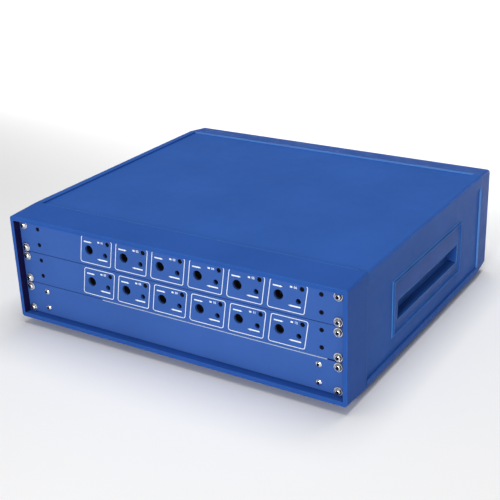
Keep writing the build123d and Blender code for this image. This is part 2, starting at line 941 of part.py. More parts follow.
# ---- rear panel ----
def rear_screw_points():
    reach_x = rear_opening_width / 2 - rear_screw_inset_x
    reach_z = rear_opening_height / 2 - rear_screw_inset_z
    return [
        (sx * reach_x, middle + sz * reach_z)
        for sx in (-1, 1)
        for sz in (-1, 1)
    ]


def inlet_outline(grow):
    """Half sizes of the inlet's body, as it passes through the rear panel."""
    return inlet_width / 2 - 2.5 + grow, inlet_height / 2 - 2.5 + grow


def switch_outline(grow):
    return switch_width / 2 - 1.2 + grow, switch_height / 2 - 1.2 + grow


def make_rear_panel():
    half_x = rear_opening_width / 2 - rear_edge_gap
    half_z = rear_opening_height / 2 - rear_edge_gap
    y1 = rear_panel_face
    y0 = y1 - rear_panel_sheet
    body = block(-half_x, half_x, y0, y1, middle - half_z, middle + half_z)
    body = fillet(body.edges().filter_by(Axis.Y), opening_corner)
    for x, z in rear_screw_points():
        body = body - rod_y(x, y0 - 1, y1 + 1, z, m4_shank + 0.2)
    hx, hz = inlet_outline(0.2)
    body = body - block(inlet_x - hx, inlet_x + hx, y0 - 1, y1 + 1, middle - hz, middle + hz)
    hx, hz = switch_outline(0.2)
    body = body - block(switch_x - hx, switch_x + hx, y0 - 1, y1 + 1, middle - hz, middle + hz)
    for k in range(vent_count):
        x = vent_x + (k - (vent_count - 1) / 2) * vent_pitch
        low = middle - vent_height / 2
        slot = block(x - vent_width / 2, x + vent_width / 2, y0 - 1, y1 + 1, low, low + vent_height)
        body = body - fillet(slot.edges().filter_by(Axis.Y), vent_width / 2 - 0.05)
    return body


def make_rear_screws():
    screw = m4_screw(rear_panel_sheet + 8.0)
    return group([Pos(x, rear_panel_face, z) * to_back * screw for x, z in rear_screw_points()])


def make_power_inlet():
    y0 = rear_panel_face
    flange = block(
        inlet_x - inlet_width / 2,
        inlet_x + inlet_width / 2,
        y0,
        y0 + inlet_flange,
        middle - inlet_height / 2,
        middle + inlet_height / 2,
    )
    flange = fillet(flange.edges().filter_by(Axis.Y), 3.0)
    hx, hz = inlet_outline(0.0)
    body = flange + block(inlet_x - hx, inlet_x + hx, y0 - inlet_body_depth, y0, middle - hz, middle + hz)
    z = middle + inlet_rise
    cavity = block(
        inlet_x - inlet_cavity_width / 2,
        inlet_x + inlet_cavity_width / 2,
        y0 + inlet_flange - inlet_cavity_depth,
        y0 + inlet_flange + 1,
        z - inlet_cavity_height / 2,
        z + inlet_cavity_height / 2,
    )
    corners = cavity.edges().filter_by(Axis.Y).group_by(Axis.Z)[-1]
    body = body - chamfer(corners, 4.0)
    low = middle - drawer_drop
    gap = drawer_gap
    seat = block(
        inlet_x - drawer_width / 2 - gap,
        inlet_x + drawer_width / 2 + gap,
        y0 + inlet_flange - drawer_depth - gap,
        y0 + inlet_flange + 1,
        low - drawer_height / 2 - gap,
        low + drawer_height / 2 + gap,
    )
    return body - seat


def make_inlet_pins():
    """Three blades: live and neutral below, earth above."""
    floor = rear_panel_face + inlet_flange - inlet_cavity_depth
    z = middle + inlet_rise
    pins = []
    for dx, dz in ((-7.0, -2.0), (7.0, -2.0), (0.0, 2.0)):
        x = inlet_x + dx
        pins.append(block(x - 1.0, x + 1.0, floor, floor + 14.0, z + dz - 2.0, z + dz + 2.0))
    return group(pins)


def make_fuse_drawer():
    y1 = rear_panel_face + inlet_flange
    low = middle - drawer_drop
    half = drawer_width / 2
    rise = drawer_height / 2
    face_y = y1 + drawer_face
    body = block(inlet_x - half, inlet_x + half, y1 - drawer_depth, face_y, low - rise, low + rise)
    fuse_y = y1 - drawer_depth / 2
    room = fuse_radius + 0.3
    bed = block(
        inlet_x - fuse_length / 2 - 0.3,
        inlet_x + fuse_length / 2 + 0.3,
        fuse_y - room,
        fuse_y + room,
        low - fuse_radius,
        low + drawer_height,
    )
    notch = block(inlet_x - 4.0, inlet_x + 4.0, face_y - 0.9, face_y + 1, low + rise - 1.6, low + rise + 1)
    return body - bed - notch


def make_mains_fuse():
    y = rear_panel_face + inlet_flange - drawer_depth / 2
    z = middle - drawer_drop
    half = fuse_length / 2
    return rod_x(inlet_x - half, inlet_x + half, y, z, fuse_radius)


def make_switch_frame():
    y0 = rear_panel_face
    flange = block(
        switch_x - switch_width / 2,
        switch_x + switch_width / 2,
        y0,
        y0 + 2.0,
        middle - switch_height / 2,
        middle + switch_height / 2,
    )
    flange = fillet(flange.edges().filter_by(Axis.Y), 1.5)
    hx, hz = switch_outline(0.0)
    low = middle - hz
    body = flange + block(switch_x - hx, switch_x + hx, y0 - switch_body_depth, y0, low, low + 2 * hz)
    half = rocker_width / 2 + rocker_gap
    reach = rocker_radius + rocker_gap
    room = block(switch_x - half, switch_x + half, y0 - 9.0, y0 + 3.0, middle - reach, middle + reach)
    return body - room


def make_rocker():
    """A rocker on a pivot at the panel's face, at rest with its upper end pressed in."""
    y0 = rear_panel_face
    half = rocker_width / 2
    drum = rod_x(switch_x - half, switch_x + half, y0, middle, rocker_radius)
    low = middle - rocker_radius
    high = middle + rocker_radius
    trim = block(switch_x - half - 1, switch_x + half + 1, y0 - 6.0, y0 + 4.6, low, high)
    body = drum & trim
    face = Pos(switch_x, y0 + 15.4, middle) * Rot(0, 90, 0) * Cylinder(12.5, rocker_width + 2)
    body = body - face
    swing = Pos(0, y0, middle) * Rot(rocker_tilt, 0, 0) * Pos(0, -y0, -middle)
    return swing * body


# ---- wiring ----
def make_supply_wires():
    """Three insulated wires from the back of the inlet, through the bracket, to the backplane."""
    start_y = rear_panel_face - inlet_body_depth
    end_y = front + backplane_depth + board_thickness
    x_end = backplane_width / 2 - bracket_margin - 8.0
    turn_y = start_y - 22.0
    wires = []
    for k in (-1, 0, 1):
        dx = k * wire_spacing
        z = middle - 2.0 + dx
        points = [
            (inlet_x + dx, start_y, z),
            (inlet_x + dx, turn_y - dx, z),
            (x_end, turn_y - dx, z),
            (x_end, end_y, z),
        ]
        path = FilletPolyline(*points, radius=wire_bend)
        plane = Plane(origin=points[0], z_dir=(0, -1, 0))
        wires.append(sweep(plane * Circle(wire_radius), path=path))
    return group(wires)


# ---- feet and tilt legs ----
def leg_pin_place(y):
    """Depth and height of a tilt leg's pin in a front foot."""
    return y - foot_length / 2 + leg_pin_inset, pad_thickness + leg_thickness / 2 + 0.3


def leg_room(x, y):
    """The hollow in a front foot that the folded leg lies in."""
    pin_y, pin_z = leg_pin_place(y)
    half = leg_width / 2 + leg_gap
    reach = leg_thickness / 2 + leg_gap
    end = pin_y + leg_length + leg_gap
    return block(x - half, x + half, pin_y - reach, end, pad_thickness - 1, pin_z + reach)


def make_feet():
    feet = []
    for k, (x, y) in enumerate(foot_places()):
        half_x = foot_width / 2
        half_y = foot_length / 2
        foot = block(x - half_x, x + half_x, y - half_y, y + half_y, pad_thickness, cover_bottom)
        foot = fillet(foot.edges().filter_by(Axis.Z), foot_corner)
        px, py = foot_screw_place(x, y)
        foot = foot - rod_z(px, py, 0, cover_bottom + 1, m4_shank + 0.1)
        foot = foot - rod_z(px, py, 0, foot_screw_seat, m4_head + 0.3)
        if k < 2:
            foot = foot - leg_room(x, y)
            pin_y, pin_z = leg_pin_place(y)
            foot = foot - rod_x(x - half_x + 3.0, x + half_x - 3.0, pin_y, pin_z, leg_pin + 0.05)
        feet.append(foot)
    return group(feet)


def make_foot_pads():
    """Rubber strips under the feet, one each side."""
    pads = []
    half = pad_length / 2
    for x, y in foot_places():
        for sx in (-1, 1):
            x0 = x + sx * (foot_width / 2 - pad_inset)
            pads.append(block(x0 - sx * pad_width, x0, y - half, y + half, 0.0, pad_thickness))
    return group(pads)


def make_foot_screws():
    screws = []
    screw = m4_screw(cover_bottom + sheet - foot_screw_seat)
    for x, y in foot_places():
        px, py = foot_screw_place(x, y)
        screws.append(Pos(px, py, foot_screw_seat) * to_below * screw)
    return group(screws)


def make_tilt_leg(k):
    """A flap with its own pin, folded up between the strips of a front foot."""
    x, y = foot_places()[k]
    pin_y, pin_z = leg_pin_place(y)
    half = leg_width / 2
    thick = leg_thickness / 2
    flap = block(x - half, x + half, pin_y, pin_y + leg_length - 1.0, pin_z - thick, pin_z + thick)
    eye = rod_x(x - half, x + half, pin_y, pin_z, thick)
    pin = rod_x(x - half - 5.0, x + half + 5.0, pin_y, pin_z, leg_pin)
    tip = pin_y + leg_length
    notch = block(x - 5.0, x + 5.0, tip - 3.0, tip, pin_z - thick - 1, pin_z - thick + 1.2)
    return flap + eye + pin - notch


def make_nodes():
    upper, lower, power = levels
    channel_places = panel_screw_places(0, channel_screw_x, channel_screw_spacing, channel_screw_rise)
    power_places = panel_screw_places(0, power_screw_x, power_screw_spacing, 0.0)
    nodes = {
        "front_bezel": make_front_bezel(),
        "rear_bezel": make_rear_bezel(),
        "rail_top_left": make_rail(False, True),
        "rail_top_right": make_rail(False, False),
        "rail_bottom_left": make_rail(True, True),
        "rail_bottom_right": make_rail(True, False),
        "top_cover": make_top_cover(),
        "bottom_cover": make_bottom_cover(),
        "side_panel_left": make_side_panel(True),
        "side_panel_right": make_side_panel(False),
        "handle_left": make_handle(True),
        "handle_right": make_handle(False),
        "rack_rail_left": make_rack_rail(True),
        "rack_rail_right": make_rack_rail(False),
        "unit_runners": make_unit_runners(),
        "frame_screws": make_frame_screws(),
        "backplane": make_backplane(),
        "backplane_bracket": make_backplane_bracket(),
        "bus_sockets": make_bus_sockets(),
        "rear_panel": make_rear_panel(),
        "rear_panel_screws": make_rear_screws(),
        "power_inlet": make_power_inlet(),
        "inlet_pins": make_inlet_pins(),
        "switch_frame": make_switch_frame(),
        "rocker": make_rocker(),
        "fuse_drawer": make_fuse_drawer(),
        "mains_fuse": make_mains_fuse(),
        "supply_wires": make_supply_wires(),
        "feet": make_feet(),
        "foot_pads": make_foot_pads(),
        "foot_screws": make_foot_screws(),
        "tilt_leg_left": make_tilt_leg(0),
        "tilt_leg_right": make_tilt_leg(1),
    }
    for name, level in (("upper", upper), ("lower", lower)):
        places = [(x, z + level) for x, z in channel_places]
        nodes[f"panel_{name}"] = make_channel_panel(level)
        nodes[f"tray_{name}"] = make_tray(level, places, black_shank)
        nodes[f"board_{name}"] = make_board(level)
        nodes[f"input_sockets_{name}"] = make_input_sockets(level)
        nodes[f"output_sockets_{name}"] = make_output_sockets(level)
        nodes[f"channel_lamps_{name}"] = make_lamps(level)
        nodes[f"relays_{name}"] = make_relays(level)
        nodes[f"bus_plug_{name}"] = make_bus_plug(level)
        nodes[f"rack_screws_{name}"] = make_rack_screws(level)
        nodes[f"panel_screws_{name}"] = make_black_screws(level)
    places = [(x, z + power) for x, z in power_places]
    nodes["panel_power"] = make_power_panel(power)
    nodes["tray_power"] = make_tray(power, places, power_shank)
    nodes["supply_board"] = make_supply_board(power)
    nodes["transformer"] = make_transformer(power)
    nodes["bus_plug_power"] = make_bus_plug(power)
    nodes["rack_screws_power"] = make_rack_screws(power)
    nodes["panel_screws_power"] = make_power_screws(power)
    return nodes


os.makedirs("parts", exist_ok=True)
for node, shape in make_nodes().items():
    export_step(shape, f"parts/{node}.step")
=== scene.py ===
"""Looks of the power distribution box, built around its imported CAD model.

Everything is in metres in the CAD frame: X to the right, Y towards the back, Z up, panels facing -Y.
"""

import json
import random
from math import cos, pi, radians, sin

import bmesh
import bpy
from mathutils import Matrix, Vector


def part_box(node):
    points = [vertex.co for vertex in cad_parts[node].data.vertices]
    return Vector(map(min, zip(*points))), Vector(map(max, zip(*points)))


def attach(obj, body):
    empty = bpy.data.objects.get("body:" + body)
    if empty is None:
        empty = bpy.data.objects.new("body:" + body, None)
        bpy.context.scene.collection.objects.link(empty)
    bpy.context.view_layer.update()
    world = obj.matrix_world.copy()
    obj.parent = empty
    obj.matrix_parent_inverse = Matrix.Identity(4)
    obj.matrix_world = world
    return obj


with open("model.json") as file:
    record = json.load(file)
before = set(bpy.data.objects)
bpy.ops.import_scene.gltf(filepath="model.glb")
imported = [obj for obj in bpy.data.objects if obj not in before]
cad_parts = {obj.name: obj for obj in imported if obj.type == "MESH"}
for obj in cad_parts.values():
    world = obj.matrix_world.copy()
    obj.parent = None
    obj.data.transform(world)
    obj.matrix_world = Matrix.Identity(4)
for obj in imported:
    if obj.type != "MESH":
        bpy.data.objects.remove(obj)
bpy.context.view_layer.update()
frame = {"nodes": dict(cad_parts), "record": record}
nodes = frame["nodes"]
MM = 0.001
# Depth of the painted highlight on the rear bezel's front rim.
RIM_HIGHLIGHT_DEPTH = 0.5 * MM
# Height and span of the light-blue strip along the top of the lowest panel.
TOP_STRIP_HEIGHT = 1.0 * MM
TOP_STRIP_START = -110.0 * MM
TOP_STRIP_END = 217.0 * MM
UNITS = ("upper", "lower")
CHANNELS = 6

# Colours, linear.
CASE_BLUE = (0.029, 0.108, 0.410)
# A little darker than the case paint: painted shade for the bezels' sloped tops.
BEZEL_SHADED_BLUE = (0.024, 0.092, 0.370)
# Painted highlight along the edges of the bezels and handles.
EDGE_HIGHLIGHT_BLUE = (0.080, 0.290, 0.640)
PANEL_BLUE = (0.044, 0.118, 0.400)
HANDLE_BLUE = (0.022, 0.088, 0.360)
# Painted shade, inside the bezel openings and beside the strip on the lowest panel.
SHADE_PURPLE = (0.012, 0.010, 0.060)
INK_WHITE = (0.80, 0.87, 0.96)
# The tint of the light-blue strip along the top of the lowest panel.
TOP_STRIP_TINT = (0.42, 0.52, 0.74)
# Painted highlight on the rear bezel's front rim.
RIM_HIGHLIGHT_BLUE = (0.110, 0.280, 0.640)
FLOOR_WHITE = (0.95, 0.95, 0.95)


# ---- node materials ----
class Nodes:
    """A material's node tree with short calls for the nodes that are used here."""

    def __init__(self, name):
        self.material = bpy.data.materials.new(name)
        self.material.use_nodes = True
        self.tree = self.material.node_tree
        self.shader = self.tree.nodes["Principled BSDF"]
        self.place = self.tree.nodes.new("ShaderNodeTexCoord").outputs["Object"]

    def link(self, output, socket):
        self.tree.links.new(output, socket)

    def set(self, **values):
        for key, value in values.items():
            self.shader.inputs[key.replace("_", " ")].default_value = value

    def noise(self, scale, detail=3.0, roughness=0.5, place=None):
        node = self.tree.nodes.new("ShaderNodeTexNoise")
        node.inputs["Scale"].default_value = scale
        node.inputs["Detail"].default_value = detail
        node.inputs["Roughness"].default_value = roughness
        self.link(place or self.place, node.inputs["Vector"])
        return node.outputs["Fac"]

    def stretch(self, x, y, z):
        node = self.tree.nodes.new("ShaderNodeMapping")
        node.inputs["Scale"].default_value = (x, y, z)
        self.link(self.place, node.inputs["Vector"])
        return node.outputs["Vector"]

    def spread(self, value, low, high):
        """A value that varies over the surface, moved from 0..1 to low..high."""
        node = self.tree.nodes.new("ShaderNodeMapRange")
        node.inputs["From Min"].default_value = 0.25
        node.inputs["From Max"].default_value = 0.75
        node.inputs["To Min"].default_value = low
        node.inputs["To Max"].default_value = high
        self.link(value, node.inputs["Value"])
        return node.outputs["Result"]

    def colours(self, value, stops, constant=False):
        node = self.tree.nodes.new("ShaderNodeValToRGB")
        ramp = node.color_ramp
        ramp.interpolation = "CONSTANT" if constant else "LINEAR"
        while len(ramp.elements) < len(stops):
            ramp.elements.new(0.5)
        for element, (place, colour) in zip(ramp.elements, stops):
            element.position = place
            element.color = (*colour, 1.0)
        self.link(value, node.inputs["Fac"])
        return node.outputs["Color"]

    def maths(self, operation, first, second):
        node = self.tree.nodes.new("ShaderNodeMath")
        node.operation = operation
        for socket, value in zip(node.inputs, (first, second)):
            if isinstance(value, float):
                socket.default_value = value
            else:
                self.link(value, socket)
        return node.outputs["Value"]

    def mix(self, share, first, colour):
        """The first colour turned into another one by a share that varies over the surface."""
        node = self.tree.nodes.new("ShaderNodeMix")
        node.data_type = "RGBA"
        self.link(share, node.inputs["Factor"])
        self.link(first, node.inputs[6])
        node.inputs[7].default_value = (*colour, 1.0)
        return node.outputs[2]

    def edges(self, radius, strength):
        """Nears strength along edges, where a rounded normal leaves the true one: the share of the painted
        highlight.
        """
        bevel = self.tree.nodes.new("ShaderNodeBevel")
        bevel.samples = 6
        bevel.inputs["Radius"].default_value = radius
        true = self.tree.nodes.new("ShaderNodeNewGeometry").outputs["Normal"]
        dot = self.tree.nodes.new("ShaderNodeVectorMath")
        dot.operation = "DOT_PRODUCT"
        self.link(bevel.outputs["Normal"], dot.inputs[0])
        self.link(true, dot.inputs[1])
        node = self.tree.nodes.new("ShaderNodeMapRange")
        node.inputs["From Min"].default_value = 0.995
        node.inputs["From Max"].default_value = 0.85
        node.inputs["To Min"].default_value = 0.0
        node.inputs["To Max"].default_value = strength
        self.link(dot.outputs["Value"], node.inputs["Value"])
        return node.outputs["Result"]

    def within(self, ranges):
        """One where each named coordinate is in its range, and zero elsewhere."""
        split = self.tree.nodes.new("ShaderNodeSeparateXYZ")
        self.link(self.place, split.inputs["Vector"])
        result = None
        for axis, (low, high) in ranges.items():
            for value in (
                self.maths("GREATER_THAN", split.outputs[axis], low),
                self.maths("LESS_THAN", split.outputs[axis], high),
            ):
                result = value if result is None else self.maths("MULTIPLY", result, value)
        return result

    def height(self, value, strength, distance, before=None):
        node = self.tree.nodes.new("ShaderNodeBump")
        node.inputs["Strength"].default_value = strength
        node.inputs["Distance"].default_value = distance
        self.link(value, node.inputs["Height"])
        if before is not None:
            self.link(before, node.inputs["Normal"])
        self.link(node.outputs["Normal"], self.shader.inputs["Normal"])
        return node.outputs["Normal"]


def shades(colour, share):
    """A colour a little darker and a little lighter."""
    return tuple(c * (1 - share) for c in colour), tuple(min(1.0, c * (1 + share)) for c in colour)


def powder_coat(name, colour, roughness=0.42, grain=900.0, depth=0.00006, edge_highlight=None, patches=()):
    """Satin paint with orange peel, a fine grain and faint mottling.

    Where a highlight radius and strength are given, the paint gets a painted highlight along the edges.
    Each patch is a range along some of the axes, and the colour painted in it.
    """
    n = Nodes(name)
    dark, light = shades(colour, 0.06)
    paint = n.colours(n.noise(9.0, 4.0), [(0.3, dark), (0.7, light)])
    if edge_highlight:
        paint = n.mix(n.edges(*edge_highlight), paint, EDGE_HIGHLIGHT_BLUE)
    for box, tint in patches:
        paint = n.mix(n.within(box), paint, tint)
    n.link(paint, n.shader.inputs["Base Color"])
    n.set(Specular_IOR_Level=0.04)
    n.link(n.spread(n.noise(60.0), roughness - 0.05, roughness + 0.06), n.shader.inputs["Roughness"])
    peel = n.height(n.noise(grain / 4, 2.0), 0.25, depth * 2)
    n.height(n.noise(grain, 3.0), 0.35, depth, peel)
    return n.material


def top_strip_coat(name):
    """The panels' paint, with a light-blue strip along the top of the lowest panel and painted shade in a
    strip beside it.
    """
    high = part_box("panel_power")[1]
    level = (high.z - TOP_STRIP_HEIGHT, high.z + 1.0 * MM)
    top_strip = {"X": (TOP_STRIP_START, TOP_STRIP_END), "Z": level}
    # Painted shade in the strip beside it.
    shade_strip = {"X": (TOP_STRIP_END + 1.0 * MM, TOP_STRIP_END + 12.0 * MM), "Z": level}
    patches = ((top_strip, TOP_STRIP_TINT), (shade_strip, SHADE_PURPLE))
    return powder_coat(name, PANEL_BLUE, 0.40, 1100.0, 0.00003, patches=patches)


def bezel_coat(name):
    """The bezels' paint: painted shade inside the openings, a painted highlight on the rear bezel's front
    rim.
    """
    low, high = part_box("panel_upper")
    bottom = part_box("panel_power")[0].z
    margin = 0.9 * MM
    # Painted shade on the bezels inside the openings.
    opening = {"X": (low.x - margin, high.x + margin), "Z": (bottom - margin, high.z + margin)}
    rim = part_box("rear_bezel")[0].y
    # A painted highlight on the rear bezel's front rim.
    rim_highlight = {"Y": (rim - 0.1 * MM, rim + RIM_HIGHLIGHT_DEPTH)}
    patches = ((rim_highlight, RIM_HIGHLIGHT_BLUE), (opening, SHADE_PURPLE))
    return powder_coat(name, BEZEL_SHADED_BLUE, edge_highlight=(1.2 * MM, 0.8), patches=patches)


def moulded_plastic(name, colour, roughness=0.5, grain=1400.0, depth=0.00004, edge_highlight=None, gloss=0.25):
    """Plastic with a spark-eroded grain, and a painted highlight along its edges where a radius and
    strength are given.
    """
    n = Nodes(name)
    dark, light = shades(colour, 0.08)
    tint = n.colours(n.noise(25.0, 3.0), [(0.35, dark), (0.65, light)])
    if edge_highlight:
        tint = n.mix(n.edges(*edge_highlight), tint, EDGE_HIGHLIGHT_BLUE)
    n.link(tint, n.shader.inputs["Base Color"])
    n.set(Specular_IOR_Level=gloss)
    n.link(n.spread(n.noise(220.0), roughness - 0.06, roughness + 0.06), n.shader.inputs["Roughness"])
    n.height(n.noise(grain, 2.0, 0.6), 0.4, depth)
    return n.material


def metal(name, colour, roughness=0.3, brush=(1.0, 1.0, 1.0), scale=700.0, depth=0.00002):
    """Metal with fine marks, drawn out along one direction where it is brushed."""
    n = Nodes(name)
    n.set(Metallic=1.0)
    place = n.stretch(*brush)
    dark, light = shades(colour, 0.08)
    n.link(n.colours(n.noise(40.0, 3.0), [(0.3, dark), (0.7, light)]), n.shader.inputs["Base Color"])
    matt = n.spread(n.noise(scale, 3.0, 0.6, place), roughness - 0.08, roughness + 0.1)
    n.link(matt, n.shader.inputs["Roughness"])
    n.height(n.noise(scale, 2.0, 0.6, place), 0.3, depth)
    return n.material


def plated_screw(name):
    """Bright plated steel with a little wear."""
    n = Nodes(name)
    n.set(Metallic=1.0)
    dark, light = shades((0.80, 0.81, 0.84), 0.06)
    n.link(n.colours(n.noise(300.0, 3.0), [(0.3, dark), (0.7, light)]), n.shader.inputs["Base Color"])
    n.link(n.spread(n.noise(900.0), 0.14, 0.26), n.shader.inputs["Roughness"])
    n.height(n.noise(900.0), 0.2, 0.00002)
    return n.material


def ink(name, colour):
    """Screen-printed ink, slightly uneven."""
    n = Nodes(name)
    dark, light = shades(colour, 0.06)
    n.link(n.colours(n.noise(900.0, 2.0), [(0.3, dark), (0.7, light)]), n.shader.inputs["Base Color"])
    n.link(n.spread(n.noise(1500.0), 0.45, 0.6), n.shader.inputs["Roughness"])
    n.height(n.noise(2500.0, 2.0), 0.2, 0.00001)
    return n.material


def circuit_board(name):
    """Solder mask over a weave, with rows of small pads showing through it."""
    n = Nodes(name)
    pads = n.tree.nodes.new("ShaderNodeTexBrick")
    pads.inputs["Scale"].default_value = 120.0
    pads.inputs["Mortar Size"].default_value = 0.05
    pads.inputs["Color1"].default_value = (0.006, 0.055, 0.024, 1.0)
    pads.inputs["Color2"].default_value = (0.010, 0.075, 0.032, 1.0)
    pads.inputs["Mortar"].default_value = (0.014, 0.105, 0.046, 1.0)
    n.link(n.place, pads.inputs["Vector"])
    n.link(pads.outputs["Color"], n.shader.inputs["Base Color"])
    n.link(n.spread(n.noise(300.0), 0.25, 0.4), n.shader.inputs["Roughness"])
    n.height(pads.outputs["Fac"], 0.3, 0.00004)
    return n.material


def wire_jackets(name, low, high):
    """Insulation that differs from wire to wire: the wires lie one above another."""
    n = Nodes(name)
    split = n.tree.nodes.new("ShaderNodeSeparateXYZ")
    n.link(n.place, split.inputs["Vector"])
    rank = n.tree.nodes.new("ShaderNodeMapRange")
    rank.inputs["From Min"].default_value = low
    rank.inputs["From Max"].default_value = high
    n.link(split.outputs["Z"], rank.inputs["Value"])
    stops = [(0.0, (0.10, 0.035, 0.012)), (0.34, (0.015, 0.06, 0.32)), (0.67, (0.10, 0.30, 0.03))]
    n.link(n.colours(rank.outputs["Result"], stops, constant=True), n.shader.inputs["Base Color"])
    n.link(n.spread(n.noise(400.0), 0.35, 0.5), n.shader.inputs["Roughness"])
    n.height(n.noise(1200.0), 0.2, 0.00002)
    return n.material


def smoked_lens(name):
    n = Nodes(name)
    n.set(Specular_IOR_Level=0.06)
    tint = n.colours(n.noise(500.0), [(0.3, (0.001, 0.001, 0.002)), (0.7, (0.003, 0.003, 0.005))])
    n.link(tint, n.shader.inputs["Base Color"])
    n.link(n.spread(n.noise(700.0), 0.3, 0.45), n.shader.inputs["Roughness"])
    n.height(n.noise(1500.0), 0.1, 0.00001)
    return n.material


def fuse_glass(name):
    """A glass tube between two metal caps, told apart along its length."""
    n = Nodes(name)
    low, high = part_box("mains_fuse")
    split = n.tree.nodes.new("ShaderNodeSeparateXYZ")
    n.link(n.place, split.inputs["Vector"])
    along = n.tree.nodes.new("ShaderNodeMapRange")
    along.inputs["From Min"].default_value = low.x
    along.inputs["From Max"].default_value = high.x
    n.link(split.outputs["X"], along.inputs["Value"])
    share = along.outputs["Result"]
    is_cap = [(0.0, (1, 1, 1)), (0.25, (0, 0, 0)), (0.75, (1, 1, 1))]
    n.link(n.colours(share, is_cap, constant=True), n.shader.inputs["Metallic"])
    tints = [(0.0, (0.7, 0.7, 0.7)), (0.25, (0.45, 0.5, 0.5)), (0.75, (0.7, 0.7, 0.7))]
    n.link(n.colours(share, tints, constant=True), n.shader.inputs["Base Color"])
    n.link(n.spread(n.noise(500.0), 0.1, 0.25), n.shader.inputs["Roughness"])
    return n.material


def floor_paint(name):
    n = Nodes(name)
    dark, light = shades(FLOOR_WHITE, 0.01)
    n.link(n.colours(n.noise(2.0), [(0.3, dark), (0.7, light)]), n.shader.inputs["Base Color"])
    n.set(Roughness=0.9)
    return n.material


def rubber(name):
    n = Nodes(name)
    tint = n.colours(n.noise(120.0), [(0.3, (0.012, 0.012, 0.012)), (0.7, (0.028, 0.028, 0.028))])
    n.link(tint, n.shader.inputs["Base Color"])
    n.link(n.spread(n.noise(300.0), 0.75, 0.95), n.shader.inputs["Roughness"])
    n.height(n.noise(900.0), 0.5, 0.00008)
    return n.material


def make_materials():
    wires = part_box("supply_wires")
    return {
        "case_paint": powder_coat("case_paint", CASE_BLUE),
        "bezel_paint": bezel_coat("bezel_paint"),
        "panel_paint": powder_coat("panel_paint", PANEL_BLUE, 0.40, 1100.0, 0.00003),
        "top_strip_paint": top_strip_coat("top_strip_paint"),
        # The handles get a painted highlight along their edges.
        "handle_plastic": moulded_plastic(
            "handle_plastic", HANDLE_BLUE, 0.42, edge_highlight=(1.8 * MM, 0.95), gloss=0.08
        ),
        "bare_steel": metal("bare_steel", (0.52, 0.53, 0.54), 0.38, (1.0, 0.04, 1.0)),
        "bright_screw": plated_screw("bright_screw"),
        "black_screw": moulded_plastic("black_screw", (0.004, 0.003, 0.012), 0.6, gloss=0.08),
        "socket_black": moulded_plastic("socket_black", (0.008, 0.008, 0.010), 0.45),
        "lamp_lens": smoked_lens("lamp_lens"),
        "circuit_board": circuit_board("circuit_board"),
        "relay_case": moulded_plastic("relay_case", (0.012, 0.035, 0.10), 0.25),
        "transformer_core": metal("transformer_core", (0.16, 0.14, 0.12), 0.5, (1.0, 1.0, 30.0)),
        "connector_plastic": moulded_plastic("connector_plastic", (0.50, 0.47, 0.38), 0.5),
        "pin_brass": metal("pin_brass", (0.80, 0.62, 0.30), 0.25),
        "rocker_plastic": moulded_plastic("rocker_plastic", (0.015, 0.015, 0.017), 0.25),
        "fuse_glass": fuse_glass("fuse_glass"),
        "wire_jacket": wire_jackets("wire_jacket", wires[0].z, wires[1].z),
        "foot_plastic": moulded_plastic("foot_plastic", (0.015, 0.015, 0.016), 0.55),
        "pad_rubber": rubber("pad_rubber"),
        "legend_ink": ink("legend_ink", INK_WHITE),
        "masked_track": powder_coat("masked_track", (0.030, 0.200, 0.085), 0.3),
        "tin": metal("tin", (0.75, 0.75, 0.76), 0.3),
        "part_black": moulded_plastic("part_black", (0.010, 0.010, 0.014), 0.4),
        "part_ceramic": moulded_plastic("part_ceramic", (0.42, 0.33, 0.20), 0.35),
    }


def paint_nodes(materials):
    """Each CAD node gets the material of its slot in the record."""
    for part in frame["record"]["subparts"]:
        slots = nodes[part["node"]].material_slots
        for slot in slots:
            slot.material = materials[part["material_slot"]]
    for slot in nodes["panel_power"].material_slots:
        slot.material = materials["top_strip_paint"]


# ---- mesh helpers ----
def piece(name, bm, material, body):
    """A mesh object from bmesh geometry that rides on a CAD body."""
    bmesh.ops.recalc_face_normals(bm, faces=bm.faces)
    mesh = bpy.data.meshes.new(name)
    bm.to_mesh(mesh)
    bm.free()
    mesh.materials.append(material)
    obj = bpy.data.objects.new(name, mesh)
    bpy.context.scene.collection.objects.link(obj)
    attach(obj, body)
    return obj


def add_prism(bm, outline, y0, y1):
    """A closed solid from an outline of (x, z) points between two depths."""
    near = [bm.verts.new((x, y0, z)) for x, z in outline]
    far = [bm.verts.new((x, y1, z)) for x, z in outline]
    bm.faces.new(near)
    bm.faces.new(list(reversed(far)))
    count = len(outline)
    for k in range(count):
        bm.faces.new((near[k], far[k], far[(k + 1) % count], near[(k + 1) % count]))


def add_box(bm, low, high, bevel=0.0):
    size = Vector(high) - Vector(low)
    place = Matrix.Translation((Vector(low) + Vector(high)) / 2) @ Matrix.Diagonal((*size, 1.0))
    made = bmesh.ops.create_cube(bm, size=1.0, matrix=place)
    if bevel:
        edges = list({e for v in made["verts"] for e in v.link_edges})
        bmesh.ops.bevel(bm, geom=edges, offset=bevel, segments=2, affect="EDGES", profile=0.5)


def add_band(bm, centre, normals, width, y0, y1):
    """A closed ring of even width along a closed line of (x, z) points."""
    rings = []
    for (x, z), (nx, nz) in zip(centre, normals):
        out = (x + nx * width / 2, z + nz * width / 2)
        inn = (x - nx * width / 2, z - nz * width / 2)
        section = ((out, y0), (inn, y0), (inn, y1), (out, y1))
        rings.append([bm.verts.new((p[0], y, p[1])) for p, y in section])
    count = len(rings)
    for k in range(count):
        a, b = rings[k], rings[(k + 1) % count]
        for i in range(4):
            bm.faces.new((a[i], a[(i + 1) % 4], b[(i + 1) % 4], b[i]))


